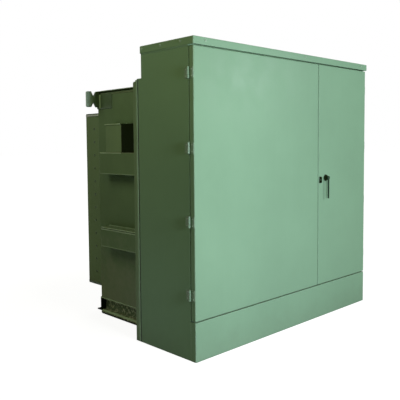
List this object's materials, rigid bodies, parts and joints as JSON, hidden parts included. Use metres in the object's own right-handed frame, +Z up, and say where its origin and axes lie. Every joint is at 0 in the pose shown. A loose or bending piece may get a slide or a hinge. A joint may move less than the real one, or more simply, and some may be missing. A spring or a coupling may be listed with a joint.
{
  "type": "pad-mounted power transformer",
  "caption": "Liquid-filled pad-mounted power transformer: finned tank with base channels behind a front terminal cabinet with hinged doors and a latch handle.",
  "frame": {"origin": "on the ground, midway between the sides and midway between the front of the latch handle and the back of the cooling fins", "axes": "+X to the right along the front, +Y from the doors towards the fins, +Z up"},
  "size_m": [1.874, 1.454, 1.83],
  "materials": {
    "cabinet_paint": "smooth satin green paint",
    "tank_paint": "satin green paint over plate, a little rough at the base",
    "black_paint": "semi-gloss black",
    "handle_steel": "black, worn at the edges",
    "hinge_steel": "bright steel",
    "epoxy": "cast epoxy",
    "tinned_copper": "tinned, satin",
    "gauge_steel": "satin bezel",
    "brass": "cast brass"
  },
  "bodies": {
    "root": {"tank": "tank_paint", "tank_cover": "tank_paint", "front_plate": "tank_paint", "base_channel_left": "tank_paint", "base_channel_right": "tank_paint", "base_cross_members": "tank_paint", "rear_hold_down_angle": "tank_paint", "lifting_lug_rear_left": "tank_paint", "lifting_lug_rear_right": "tank_paint", "lifting_lug_front_left": "tank_paint", "lifting_lug_front_right": "tank_paint", "junction_box": "tank_paint", "junction_box_lid": "tank_paint", "junction_box_front_section": "black_paint", "hood": "cabinet_paint", "sill": "cabinet_paint", "cabinet_side_left": "cabinet_paint", "cabinet_side_right": "cabinet_paint", "header_rail": "cabinet_paint", "back_strip": "cabinet_paint", "compartment_barrier": "cabinet_paint", "hv_bushings": "epoxy", "fuse_holders": "epoxy", "lv_bushings": "epoxy", "lv_spades": "tinned_copper", "gauges": "gauge_steel", "tap_changer": "black_paint", "drain_valve": "brass", "left_hinge_frame_leaves": "cabinet_paint", "left_hinge_pins": "hinge_steel", "right_hinge_frame_leaves": "cabinet_paint", "right_hinge_pins": "hinge_steel", "side_stiffener_upper_left": "tank_paint", "side_stiffener_lower_left": "tank_paint", "side_stiffener_upper_right": "tank_paint", "side_stiffener_lower_right": "tank_paint", "fin_bank_left": "tank_paint", "fin_bank_centre": "tank_paint", "fin_bank_right": "tank_paint"},
    "left_door": {"left_door": "cabinet_paint", "left_door_stiffeners": "cabinet_paint", "left_hinge_door_leaves": "cabinet_paint"},
    "right_door": {"right_door": "cabinet_paint", "right_door_stiffener": "cabinet_paint", "right_hinge_door_leaves": "cabinet_paint", "handle_escutcheon": "black_paint", "padlock_hasp": "black_paint"},
    "handle": {"handle_lever": "handle_steel"}
  },
  "joints": [
    {"name": "left_door_hinge", "type": "hinge", "parent": "root", "child": "left_door", "pos_m": [-0.929, -0.661, 0], "axis": [0, 0, -1], "range_deg": [0, 120]},
    {"name": "right_door_hinge", "type": "hinge", "parent": "root", "child": "right_door", "pos_m": [0.929, -0.661, 0], "axis": [0, 0, 1], "range_deg": [0, 120]},
    {"name": "handle_turn", "type": "hinge", "parent": "right_door", "child": "handle", "pos_m": [0.38, -0.719, 0.99], "axis": [0, -1, 0], "range_deg": [0, 90]}
  ]
}
